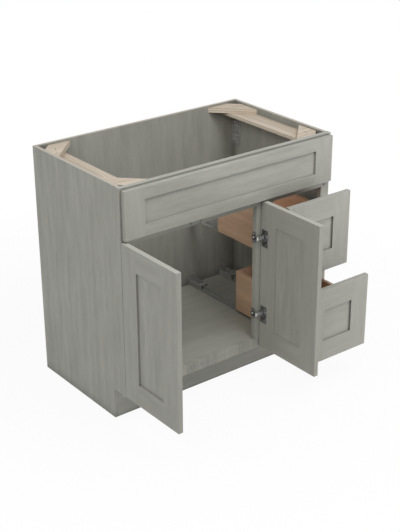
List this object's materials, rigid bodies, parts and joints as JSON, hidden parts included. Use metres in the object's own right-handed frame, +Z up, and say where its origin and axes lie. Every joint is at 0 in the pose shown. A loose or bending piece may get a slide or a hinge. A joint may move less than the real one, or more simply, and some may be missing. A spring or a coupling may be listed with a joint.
{
  "type": "sink vanity base cabinet",
  "caption": "Framed vanity base cabinet with a false sink front, hinged recessed-panel doors, stacked drawers on undermount slides and an open top that carries a basin counter.",
  "frame": {"origin": "on the floor at the wall, midway along the cabinet's back", "axes": "+X to the right seen from the front, +Y into the wall, +Z up"},
  "size_m": [0.9152, 0.8319, 0.8763],
  "materials": {
    "painted_wood": "grey-green satin stain over fine open grain",
    "painted_ply": "grey-green satin stain on plywood, grain upright",
    "raw_birch": "bare birch plywood",
    "drawer_birch": "clear-coated birch",
    "hinge_steel": "dark nickel-plated pressed steel",
    "hinge_arm_nickel": "bright nickel",
    "slide_steel": "zinc-plated sheet steel",
    "slide_plastic": "moulded grey nylon",
    "screw_steel": "zinc-plated",
    "angle_steel": "galvanised",
    "bumper_rubber": "soft clear-grey pad"
  },
  "bodies": {
    "cabinet": {"back_corner_angles": "angle_steel", "back_panel": "painted_ply", "bottom_panel": "painted_ply", "bottom_rail": "painted_wood", "cabinet_screws": "screw_steel", "corner_blocks": "raw_birch", "drawer_rail": "painted_wood", "false_front_panel": "painted_wood", "false_front_rails": "painted_wood", "false_front_stiles": "painted_wood", "frame_bumpers": "bumper_rubber", "hinge_arms": "hinge_arm_nickel", "hinge_base_plates": "hinge_steel", "left_side_panel": "painted_ply", "left_stile": "painted_wood", "middle_rail": "painted_wood", "mullion": "painted_wood", "right_side_panel": "painted_ply", "right_stile": "painted_wood", "slide_front_feet": "slide_plastic", "slide_rear_brackets": "slide_plastic", "slide_runners": "slide_steel", "toe_kick_board": "painted_ply", "top_cleats": "raw_birch", "top_rail": "painted_wood"},
    "left_door": {"left_door_hinge_stile": "painted_wood", "left_door_meeting_stile": "painted_wood", "left_door_panel": "painted_wood", "left_door_rails": "painted_wood", "left_hinge_cup_screws": "screw_steel", "left_hinge_cups": "hinge_steel", "left_hinge_pins": "hinge_arm_nickel"},
    "right_door": {"right_door_hinge_stile": "painted_wood", "right_door_meeting_stile": "painted_wood", "right_door_panel": "painted_wood", "right_door_rails": "painted_wood", "right_hinge_cup_screws": "screw_steel", "right_hinge_cups": "hinge_steel", "right_hinge_pins": "hinge_arm_nickel"},
    "upper_drawer": {"upper_drawer_box_bottom": "drawer_birch", "upper_drawer_box_ends": "drawer_birch", "upper_drawer_box_sides": "drawer_birch", "upper_drawer_front_panel": "painted_wood", "upper_drawer_front_rails": "painted_wood", "upper_drawer_front_screws": "screw_steel", "upper_drawer_front_stiles": "painted_wood", "upper_drawer_slide_clips": "slide_plastic", "upper_drawer_slide_members": "slide_steel"},
    "lower_drawer": {"lower_drawer_box_bottom": "drawer_birch", "lower_drawer_box_ends": "drawer_birch", "lower_drawer_box_sides": "drawer_birch", "lower_drawer_front_panel": "painted_wood", "lower_drawer_front_rails": "painted_wood", "lower_drawer_front_screws": "screw_steel", "lower_drawer_front_stiles": "painted_wood", "lower_drawer_slide_clips": "slide_plastic", "lower_drawer_slide_members": "slide_steel"},
    "upper_slide_middle": {"upper_slide_middles": "slide_steel"},
    "lower_slide_middle": {"lower_slide_middles": "slide_steel"}
  },
  "joints": [
    {"name": "left_door_hinge", "type": "hinge", "parent": "cabinet", "child": "left_door", "pos_m": [-0.44425, -0.5416, 0.4064], "axis": [0, 0, -1], "range_deg": [-90, 5]},
    {"name": "right_door_hinge", "type": "hinge", "parent": "cabinet", "child": "right_door", "pos_m": [0.13945, -0.5416, 0.4064], "axis": [0, 0, 1], "range_deg": [-90, 0]},
    {"name": "upper_drawer_slide", "type": "slide", "parent": "cabinet", "child": "upper_drawer", "axis": [0, -1, 0], "range_m": [-0.098, 0.302]},
    {"name": "lower_drawer_slide", "type": "slide", "parent": "cabinet", "child": "lower_drawer", "axis": [0, -1, 0], "range_m": [-0.209, 0.191]},
    {"name": "upper_middle_slide", "type": "slide", "parent": "cabinet", "child": "upper_slide_middle", "axis": [0, -1, 0], "range_m": [-0.049, 0.151]},
    {"name": "lower_middle_slide", "type": "slide", "parent": "cabinet", "child": "lower_slide_middle", "axis": [0, -1, 0], "range_m": [-0.1045, 0.0955]}
  ],
  "couplings": [
    {"joint": "upper_middle_slide", "follows": "upper_drawer_slide", "ratio": 0.5},
    {"joint": "lower_middle_slide", "follows": "lower_drawer_slide", "ratio": 0.5}
  ]
}
